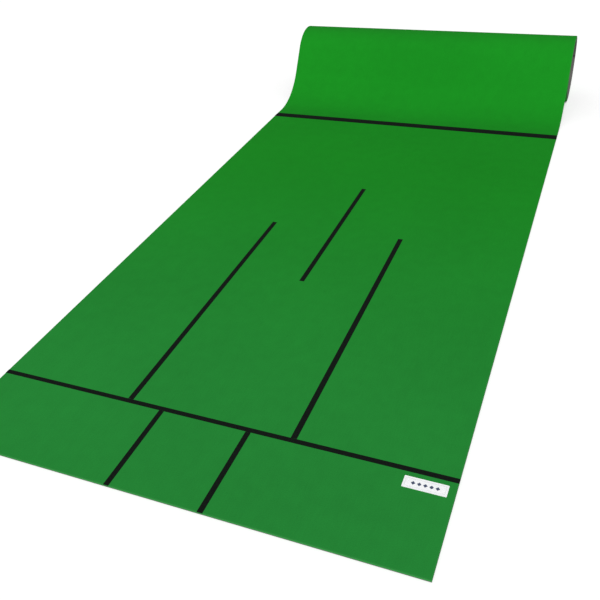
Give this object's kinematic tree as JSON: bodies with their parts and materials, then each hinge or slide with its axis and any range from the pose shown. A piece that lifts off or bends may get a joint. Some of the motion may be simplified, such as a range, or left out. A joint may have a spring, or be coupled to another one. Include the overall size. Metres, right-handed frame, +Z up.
{
  "type": "practice putting mat",
  "caption": "Roll-up practice putting mat: green felt turf on a rubber backing with inlaid black guide lines, its far end rolled up.",
  "frame": {"origin": "on the floor under the middle of the mat as it lies with its far end rolled up", "axes": "+X across the mat to the player's right, +Y from the near edge towards the roll, +Z up"},
  "size_m": [1, 2.192, 0.2209],
  "materials": {
    "turf": "short felt pile, matte",
    "backing": "dark grey foamed latex, matte, fine embossed waffle",
    "line": "black felt, matte",
    "label": "woven satin label with a plain border and a row of lozenges",
    "thread": "sewing thread"
  },
  "bodies": {
    "flat_stretch": {"turf_flat": "turf", "backing_flat": "backing", "line_near_cross": "line", "line_far_cross": "line", "line_lane_left": "line", "line_lane_right": "line", "line_aim_centre": "line", "line_foot_left": "line", "line_foot_right": "line", "woven_label": "label", "label_thread": "thread"},
    "rise_1": {"turf_rise_1": "turf", "backing_rise_1": "backing"},
    "rise_2": {"turf_rise_2": "turf", "backing_rise_2": "backing"},
    "rise_3": {"turf_rise_3": "turf", "backing_rise_3": "backing"},
    "rise_4": {"turf_rise_4": "turf", "backing_rise_4": "backing"},
    "ramp": {"turf_ramp": "turf", "backing_ramp": "backing"},
    "roll_01": {"turf_roll_01": "turf", "backing_roll_01": "backing"},
    "roll_02": {"turf_roll_02": "turf", "backing_roll_02": "backing"},
    "roll_03": {"turf_roll_03": "turf", "backing_roll_03": "backing"},
    "roll_04": {"turf_roll_04": "turf", "backing_roll_04": "backing"},
    "roll_05": {"turf_roll_05": "turf", "backing_roll_05": "backing"},
    "roll_06": {"turf_roll_06": "turf", "backing_roll_06": "backing"},
    "roll_07": {"turf_roll_07": "turf", "backing_roll_07": "backing"},
    "roll_08": {"turf_roll_08": "turf", "backing_roll_08": "backing"},
    "roll_09": {"turf_roll_09": "turf", "backing_roll_09": "backing"},
    "roll_10": {"turf_roll_10": "turf", "backing_roll_10": "backing"},
    "roll_11": {"turf_roll_11": "turf", "backing_roll_11": "backing"},
    "roll_12": {"turf_roll_12": "turf", "backing_roll_12": "backing"},
    "roll_13": {"turf_roll_13": "turf", "backing_roll_13": "backing"},
    "roll_14": {"turf_roll_14": "turf", "backing_roll_14": "backing"},
    "roll_15": {"turf_roll_15": "turf", "backing_roll_15": "backing"},
    "roll_16": {"turf_roll_16": "turf", "backing_roll_16": "backing"},
    "roll_17": {"turf_roll_17": "turf", "backing_roll_17": "backing"}
  },
  "joints": [
    {"name": "unroll", "type": "hinge", "parent": "flat_stretch", "child": "rise_1", "pos_m": [0, 0.67246, 0], "axis": [-1, 0, 0], "range_deg": [0, 7]},
    {"name": "unroll_rise_2", "type": "hinge", "parent": "rise_1", "child": "rise_2", "pos_m": [0, 0.72206, 0.00609], "axis": [-1, 0, 0], "range_deg": [0, 14]},
    {"name": "unroll_rise_3", "type": "hinge", "parent": "rise_2", "child": "rise_3", "pos_m": [0, 0.7687, 0.024], "axis": [-1, 0, 0], "range_deg": [0, 14]},
    {"name": "unroll_rise_4", "type": "hinge", "parent": "rise_3", "child": "rise_4", "pos_m": [0, 0.80963, 0.05266], "axis": [-1, 0, 0], "range_deg": [0, 14]},
    {"name": "unroll_ramp", "type": "hinge", "parent": "rise_4", "child": "ramp", "pos_m": [0, 0.84242, 0.09037], "axis": [-1, 0, 0], "range_deg": [0, 7]},
    {"name": "unroll_roll_01", "type": "hinge", "parent": "ramp", "child": "roll_01", "pos_m": [0, 0.89148, 0.17205], "axis": [1, 0, 0], "range_deg": [0, 13.59]},
    {"name": "unroll_roll_02", "type": "hinge", "parent": "roll_01", "child": "roll_02", "pos_m": [0, 0.9291, 0.20641], "axis": [1, 0, 0], "range_deg": [0, 28]},
    {"name": "unroll_roll_03", "type": "hinge", "parent": "roll_02", "child": "roll_03", "pos_m": [0, 0.98558, 0.22092], "axis": [1, 0, 0], "range_deg": [0, 30]},
    {"name": "unroll_roll_04", "type": "hinge", "parent": "roll_03", "child": "roll_04", "pos_m": [0, 1.04143, 0.20533], "axis": [1, 0, 0], "range_deg": [0, 30]},
    {"name": "unroll_roll_05", "type": "hinge", "parent": "roll_04", "child": "roll_05", "pos_m": [0, 1.08178, 0.16412], "axis": [1, 0, 0], "range_deg": [0, 30]},
    {"name": "unroll_roll_06", "type": "hinge", "parent": "roll_05", "child": "roll_06", "pos_m": [0, 1.09604, 0.10858], "axis": [1, 0, 0], "range_deg": [0, 30]},
    {"name": "unroll_roll_07", "type": "hinge", "parent": "roll_06", "child": "roll_07", "pos_m": [0, 1.0807, 0.05367], "axis": [1, 0, 0], "range_deg": [0, 30]},
    {"name": "unroll_roll_08", "type": "hinge", "parent": "roll_07", "child": "roll_08", "pos_m": [0, 1.04018, 0.01401], "axis": [1, 0, 0], "range_deg": [0, 30]},
    {"name": "unroll_roll_09", "type": "hinge", "parent": "roll_08", "child": "roll_09", "pos_m": [0, 0.98558, 0], "axis": [1, 0, 0], "range_deg": [0, 30]},
    {"name": "unroll_roll_10", "type": "hinge", "parent": "roll_09", "child": "roll_10", "pos_m": [0, 0.9316, 0.01509], "axis": [1, 0, 0], "range_deg": [0, 30]},
    {"name": "unroll_roll_11", "type": "hinge", "parent": "roll_10", "child": "roll_11", "pos_m": [0, 0.89263, 0.05492], "axis": [1, 0, 0], "range_deg": [0, 30]},
    {"name": "unroll_roll_12", "type": "hinge", "parent": "roll_11", "child": "roll_12", "pos_m": [0, 0.87887, 0.10858], "axis": [1, 0, 0], "range_deg": [0, 30]},
    {"name": "unroll_roll_13", "type": "hinge", "parent": "roll_12", "child": "roll_13", "pos_m": [0, 0.89371, 0.16162], "axis": [1, 0, 0], "range_deg": [0, 30]},
    {"name": "unroll_roll_14", "type": "hinge", "parent": "roll_13", "child": "roll_14", "pos_m": [0, 0.93285, 0.19991], "axis": [1, 0, 0], "range_deg": [0, 30]},
    {"name": "unroll_roll_15", "type": "hinge", "parent": "roll_14", "child": "roll_15", "pos_m": [0, 0.98558, 0.21342], "axis": [1, 0, 0], "range_deg": [0, 30]},
    {"name": "unroll_roll_16", "type": "hinge", "parent": "roll_15", "child": "roll_16", "pos_m": [0, 1.03768, 0.19883], "axis": [1, 0, 0], "range_deg": [0, 30]},
    {"name": "unroll_roll_17", "type": "hinge", "parent": "roll_16", "child": "roll_17", "pos_m": [0, 1.07528, 0.16037], "axis": [1, 0, 0], "range_deg": [0, 30]}
  ],
  "couplings": [
    {"joint": "unroll_rise_2", "follows": "unroll", "ratio": 2},
    {"joint": "unroll_rise_3", "follows": "unroll", "ratio": 2},
    {"joint": "unroll_rise_4", "follows": "unroll", "ratio": 2},
    {"joint": "unroll_ramp", "follows": "unroll", "ratio": 1},
    {"joint": "unroll_roll_01", "follows": "unroll", "ratio": 1.9419},
    {"joint": "unroll_roll_02", "follows": "unroll", "ratio": 3.9999},
    {"joint": "unroll_roll_03", "follows": "unroll", "ratio": 4.2862},
    {"joint": "unroll_roll_04", "follows": "unroll", "ratio": 4.2862},
    {"joint": "unroll_roll_05", "follows": "unroll", "ratio": 4.2862},
    {"joint": "unroll_roll_06", "follows": "unroll", "ratio": 4.2862},
    {"joint": "unroll_roll_07", "follows": "unroll", "ratio": 4.2862},
    {"joint": "unroll_roll_08", "follows": "unroll", "ratio": 4.2862},
    {"joint": "unroll_roll_09", "follows": "unroll", "ratio": 4.2862},
    {"joint": "unroll_roll_10", "follows": "unroll", "ratio": 4.2862},
    {"joint": "unroll_roll_11", "follows": "unroll", "ratio": 4.2862},
    {"joint": "unroll_roll_12", "follows": "unroll", "ratio": 4.2862},
    {"joint": "unroll_roll_13", "follows": "unroll", "ratio": 4.2862},
    {"joint": "unroll_roll_14", "follows": "unroll", "ratio": 4.2863},
    {"joint": "unroll_roll_15", "follows": "unroll", "ratio": 4.2863},
    {"joint": "unroll_roll_16", "follows": "unroll", "ratio": 4.2863},
    {"joint": "unroll_roll_17", "follows": "unroll", "ratio": 4.2863}
  ]
}
